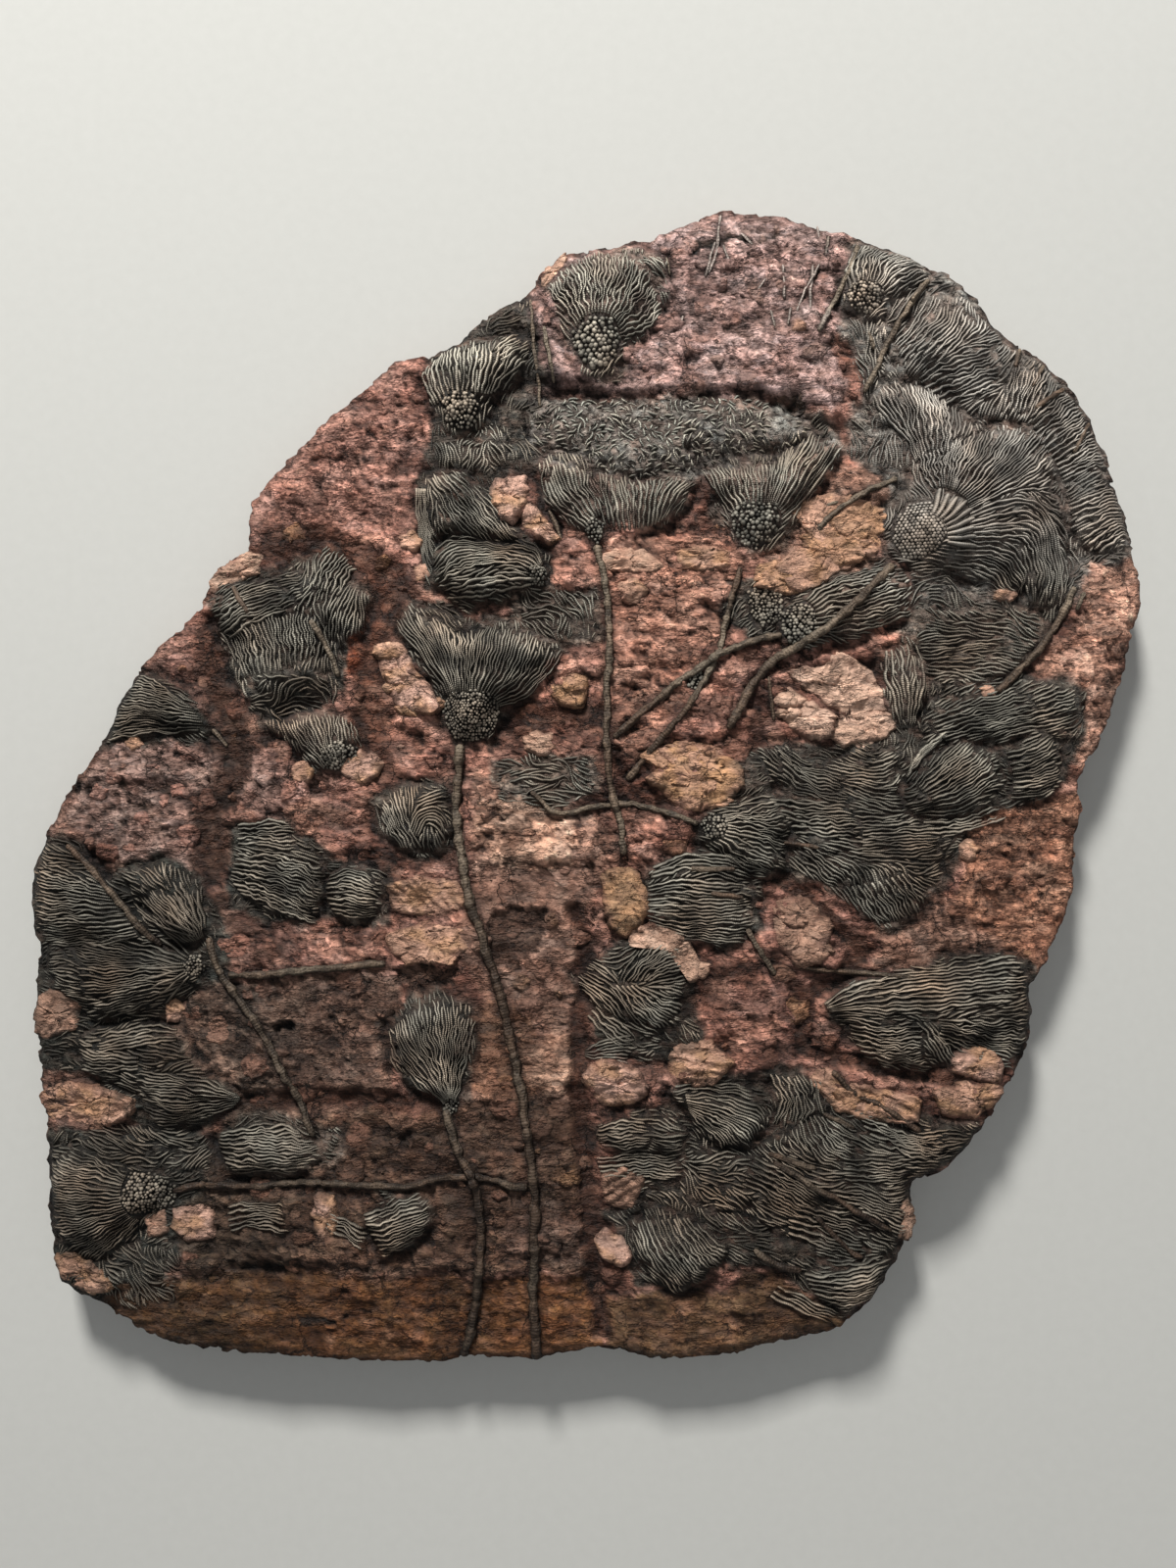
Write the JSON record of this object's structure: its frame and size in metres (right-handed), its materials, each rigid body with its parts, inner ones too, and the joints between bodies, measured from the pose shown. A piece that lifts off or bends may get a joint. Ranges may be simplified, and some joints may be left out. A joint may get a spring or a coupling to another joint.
{
  "type": "crinoid fossil slab",
  "caption": "Broken slab of red limestone with grey sea-lily crowns, arm mats and stems standing in relief on its face; it lies on its flat back.",
  "frame": {"origin": "middle of the flat back, on the surface the slab lies on", "axes": "+Z out of the fossil face, +Y towards the slab's top edge as it is displayed, +X towards its right edge"},
  "size_m": [1.0608, 1.1016, 0.0668],
  "materials": {
    "red_matrix": "rough broken red limestone with pink and ochre lumps, matt",
    "crown_calcite": "grey-green fossil calcite, fine arms pale on the crests and near black between, dull satin",
    "stem_calcite": "grey-brown ringed fossil stems, dull satin"
  },
  "bodies": {
    "root": {"arm_mat_left_of_comb": "crown_calcite", "arm_mat_lower_right": "crown_calcite", "arm_mat_middle_right": "crown_calcite", "arm_mat_right": "crown_calcite", "arm_mat_upper_middle": "crown_calcite", "arm_mat_upper_right": "crown_calcite", "crown_arched_left": "crown_calcite", "crown_beaded_middle": "crown_calcite", "crown_big_right": "crown_calcite", "crown_bottom_right": "crown_calcite", "crown_comb_left": "crown_calcite", "crown_comb_middle": "crown_calcite", "crown_comb_right": "crown_calcite", "crown_curled_middle": "crown_calcite", "crown_domed_bottom": "crown_calcite", "crown_fan_red": "crown_calcite", "crown_left_flat": "crown_calcite", "crown_left_lower_fan": "crown_calcite", "crown_left_main": "crown_calcite", "crown_left_oval": "crown_calcite", "crown_left_rim": "crown_calcite", "crown_left_rim_upper": "crown_calcite", "crown_left_small": "crown_calcite", "crown_left_twin_lower": "crown_calcite", "crown_left_twin_upper": "crown_calcite", "crown_left_upper": "crown_calcite", "crown_left_wavy": "crown_calcite", "crown_long_right": "crown_calcite", "crown_lower_middle": "crown_calcite", "crown_lower_wavy": "crown_calcite", "crown_lying_left": "crown_calcite", "crown_middle_right": "crown_calcite", "crown_right_branching": "crown_calcite", "crown_right_rim": "crown_calcite", "crown_ringed_lower": "crown_calcite", "crown_small_arched": "crown_calcite", "crown_swept_lower": "crown_calcite", "crown_swept_middle": "crown_calcite", "crown_top": "crown_calcite", "crown_top_left": "crown_calcite", "crown_top_right": "crown_calcite", "matrix_slab": "red_matrix", "stem_arch_middle": "stem_calcite", "stem_crossing_lower": "stem_calcite", "stem_crossing_upper": "stem_calcite", "stem_left_branch": "stem_calcite", "stem_left_diagonal": "stem_calcite", "stem_left_long": "stem_calcite", "stem_left_main": "stem_calcite", "stem_low_cross": "stem_calcite", "stem_low_right_b": "stem_calcite", "stem_low_right_c": "stem_calcite", "stem_low_short": "stem_calcite", "stem_of_big_crown": "stem_calcite", "stem_ridge_top": "stem_calcite", "stem_ridge_upper": "stem_calcite", "stem_right_curved": "stem_calcite", "stem_thin_upper": "stem_calcite", "stem_upright_middle": "stem_calcite"}
  },
  "joints": []
}
